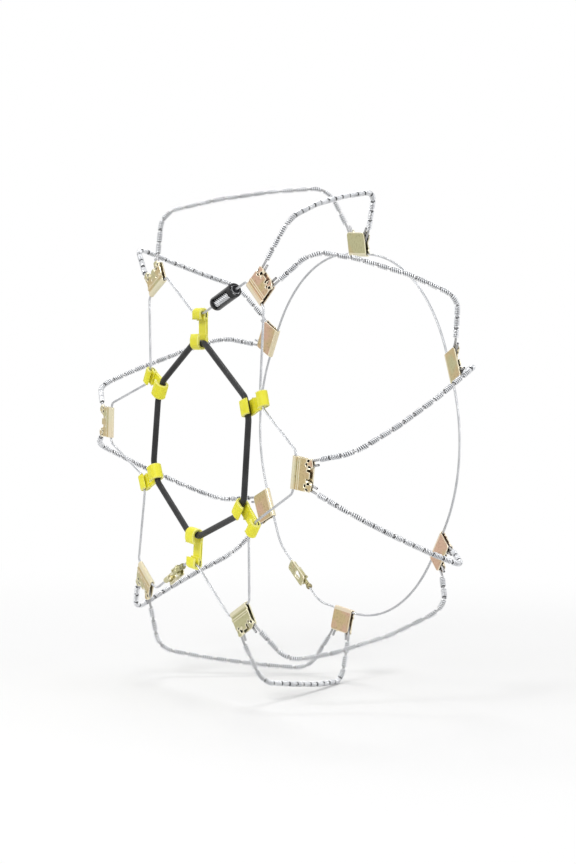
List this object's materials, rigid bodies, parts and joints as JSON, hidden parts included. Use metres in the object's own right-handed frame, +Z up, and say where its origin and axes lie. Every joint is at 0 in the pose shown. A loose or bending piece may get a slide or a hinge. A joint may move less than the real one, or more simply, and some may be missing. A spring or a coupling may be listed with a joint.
{
  "type": "tire snow chains",
  "caption": "Diagonal cable tyre chain in its fitted shape: coil-wrapped tread cables zigzag between two side cables, with a hooked rubber ring as tensioner.",
  "frame": {"origin": "middle of the tyre that it fits, on the axle", "axes": "Y along the axle, outboard side with the tensioner at -Y; +Z up; +X forward"},
  "size_m": [0.6447, 0.2456, 0.6422],
  "materials": {
    "gold_steel": "stamped sheet, yellow zinc plated, satin",
    "dark_steel": "dark plated, dull",
    "coil_steel": "galvanised spring wire, bright",
    "core_rope": "galvanised wire rope",
    "side_rope": "bright galvanised wire rope",
    "yellow_plastic": "moulded, semi-gloss, bright yellow",
    "black_rubber": "extruded round cord, dull black",
    "black_plastic": "moulded, satin, black",
    "bright_steel": "pressed sleeve, bright"
  },
  "bodies": {
    "net": {"inner_connector_1": "gold_steel", "inner_connector_2": "gold_steel", "inner_connector_3": "gold_steel", "inner_connector_4": "gold_steel", "inner_connector_5": "gold_steel", "inner_connector_6": "gold_steel", "inner_lock_plate": "gold_steel", "inner_side_cable": "side_rope", "outer_connector_1": "gold_steel", "outer_connector_2": "gold_steel", "outer_connector_3": "gold_steel", "outer_connector_4": "gold_steel", "outer_connector_5": "gold_steel", "outer_connector_6": "gold_steel", "outer_lock_plate": "gold_steel", "outer_side_cable": "side_rope", "tread_cables_1": "core_rope", "tread_cables_2": "core_rope", "tread_cables_3": "core_rope", "tread_cables_4": "core_rope", "tread_cables_5": "core_rope", "tread_cables_6": "core_rope", "tread_coils_01": "coil_steel", "tread_coils_02": "coil_steel", "tread_coils_03": "coil_steel", "tread_coils_04": "coil_steel", "tread_coils_05": "coil_steel", "tread_coils_06": "coil_steel", "tread_coils_07": "coil_steel", "tread_coils_08": "coil_steel", "tread_coils_09": "coil_steel", "tread_coils_10": "coil_steel", "tread_coils_11": "coil_steel", "tread_coils_12": "coil_steel"},
    "rollers_01": {"tread_rollers_01": "coil_steel"},
    "rollers_02": {"tread_rollers_02": "coil_steel"},
    "rollers_03": {"tread_rollers_03": "coil_steel"},
    "rollers_04": {"tread_rollers_04": "coil_steel"},
    "rollers_05": {"tread_rollers_05": "coil_steel"},
    "rollers_06": {"tread_rollers_06": "coil_steel"},
    "rollers_07": {"tread_rollers_07": "coil_steel"},
    "rollers_08": {"tread_rollers_08": "coil_steel"},
    "rollers_09": {"tread_rollers_09": "coil_steel"},
    "rollers_10": {"tread_rollers_10": "coil_steel"},
    "rollers_11": {"tread_rollers_11": "coil_steel"},
    "rollers_12": {"tread_rollers_12": "coil_steel"},
    "ring": {"tensioner_ring": "black_rubber"},
    "hook_1": {"tensioner_hook_1": "yellow_plastic"},
    "hook_2": {"tensioner_hook_2": "yellow_plastic"},
    "hook_3": {"tensioner_hook_3": "yellow_plastic"},
    "hook_4": {"tensioner_hook_4": "yellow_plastic"},
    "hook_5": {"tensioner_hook_5": "yellow_plastic"},
    "hook_6": {"tensioner_hook_6": "yellow_plastic"},
    "barrel_sleeve": {"barrel_ferrule": "bright_steel"},
    "barrel": {"barrel_shell": "black_plastic"},
    "outer_stud": {"outer_lock_stud": "dark_steel"},
    "inner_stud": {"inner_lock_stud": "dark_steel"}
  },
  "joints": [
    {"name": "roll_01", "type": "hinge", "parent": "net", "child": "rollers_01", "pos_m": [0.31652, 0, 0.04533], "axis": [-0.07, 0.8696, 0.4888], "continuous": true},
    {"name": "roll_02", "type": "hinge", "parent": "net", "child": "rollers_02", "pos_m": [0.29985, 0, -0.11151], "axis": [-0.136, 0.9208, -0.3656], "continuous": true},
    {"name": "roll_03", "type": "hinge", "parent": "net", "child": "rollers_03", "pos_m": [0.11616, 0, 0.29793], "axis": [-0.4467, 0.8776, 0.1742], "continuous": true},
    {"name": "roll_04", "type": "hinge", "parent": "net", "child": "rollers_04", "pos_m": [0.2359, 0, 0.21616], "axis": [0.2403, 0.9346, -0.2623], "continuous": true},
    {"name": "roll_05", "type": "hinge", "parent": "net", "child": "rollers_05", "pos_m": [-0.24057, 0, 0.21097], "axis": [-0.2296, 0.9374, -0.2618], "continuous": true},
    {"name": "roll_06", "type": "hinge", "parent": "net", "child": "rollers_06", "pos_m": [-0.09078, 0, 0.30647], "axis": [0.5298, 0.8335, 0.1569], "continuous": true},
    {"name": "roll_07", "type": "hinge", "parent": "net", "child": "rollers_07", "pos_m": [-0.31176, 0, -0.07169], "axis": [0.0911, 0.9136, -0.3963], "continuous": true},
    {"name": "roll_08", "type": "hinge", "parent": "net", "child": "rollers_08", "pos_m": [-0.30818, 0, 0.08605], "axis": [0.0943, 0.9365, 0.3378], "continuous": true},
    {"name": "roll_09", "type": "hinge", "parent": "net", "child": "rollers_09", "pos_m": [-0.10017, 0, -0.30378], "axis": [0.3994, 0.9073, -0.1317], "continuous": true},
    {"name": "roll_10", "type": "hinge", "parent": "net", "child": "rollers_10", "pos_m": [-0.24086, 0, -0.21049], "axis": [-0.2767, 0.9073, 0.3167], "continuous": true},
    {"name": "roll_11", "type": "hinge", "parent": "net", "child": "rollers_11", "pos_m": [0.20663, 0, -0.24409], "axis": [0.3514, 0.8877, 0.2975], "continuous": true},
    {"name": "roll_12", "type": "hinge", "parent": "net", "child": "rollers_12", "pos_m": [0.07627, 0, -0.31051], "axis": [-0.4853, 0.8662, -0.1192], "continuous": true},
    {"name": "ring_shift", "type": "slide", "parent": "net", "child": "ring", "axis": [0, -1, 0], "range_m": [-0.00526, 0.00526], "stiffness_N_per_m": 120},
    {"name": "hook_1_swing", "type": "hinge", "parent": "net", "child": "hook_1", "pos_m": [0.15101, -0.116, 0.05407], "axis": [-0.3371, 0, 0.9415], "range_deg": [-8, 8]},
    {"name": "hook_2_swing", "type": "hinge", "parent": "net", "child": "hook_2", "pos_m": [-0.00568, -0.116, 0.1548], "axis": [-0.9993, 0, -0.0366], "range_deg": [-8, 8]},
    {"name": "hook_3_swing", "type": "hinge", "parent": "net", "child": "hook_3", "pos_m": [-0.13543, -0.116, 0.0714], "axis": [-0.4664, 0, -0.8846], "range_deg": [-8, 8]},
    {"name": "hook_4_swing", "type": "hinge", "parent": "net", "child": "hook_4", "pos_m": [-0.14604, -0.116, -0.06872], "axis": [0.4258, 0, -0.9048], "range_deg": [-8, 8]},
    {"name": "hook_5_swing", "type": "hinge", "parent": "net", "child": "hook_5", "pos_m": [-0.01218, -0.116, -0.16204], "axis": [0.9972, 0, -0.075], "range_deg": [-8, 8]},
    {"name": "hook_6_swing", "type": "hinge", "parent": "net", "child": "hook_6", "pos_m": [0.13289, -0.116, -0.1057], "axis": [0.6225, 0, 0.7826], "range_deg": [-8, 8]},
    {"name": "barrel_slide", "type": "slide", "parent": "net", "child": "barrel_sleeve", "axis": [-0.9309, 0, -0.3652], "range_m": [-0.012, 0.012]},
    {"name": "barrel_spin", "type": "hinge", "parent": "barrel_sleeve", "child": "barrel", "pos_m": [0.05985, -0.116, 0.17591], "axis": [-0.9309, 0, -0.3652], "continuous": true},
    {"name": "outer_stud_slide", "type": "slide", "parent": "net", "child": "outer_stud", "axis": [-0.8876, 0, -0.4606], "range_m": [0, 0.008]},
    {"name": "inner_stud_slide", "type": "slide", "parent": "net", "child": "inner_stud", "axis": [-0.8339, 0, 0.5519], "range_m": [0, 0.008]}
  ],
  "couplings": [
    {"joint": "hook_1_swing", "follows": "ring_shift", "rad_per_m": 26.401},
    {"joint": "hook_2_swing", "follows": "ring_shift", "rad_per_m": 26.401},
    {"joint": "hook_3_swing", "follows": "ring_shift", "rad_per_m": 26.401},
    {"joint": "hook_4_swing", "follows": "ring_shift", "rad_per_m": 26.401},
    {"joint": "hook_5_swing", "follows": "ring_shift", "rad_per_m": 26.401},
    {"joint": "hook_6_swing", "follows": "ring_shift", "rad_per_m": 26.401}
  ]
}
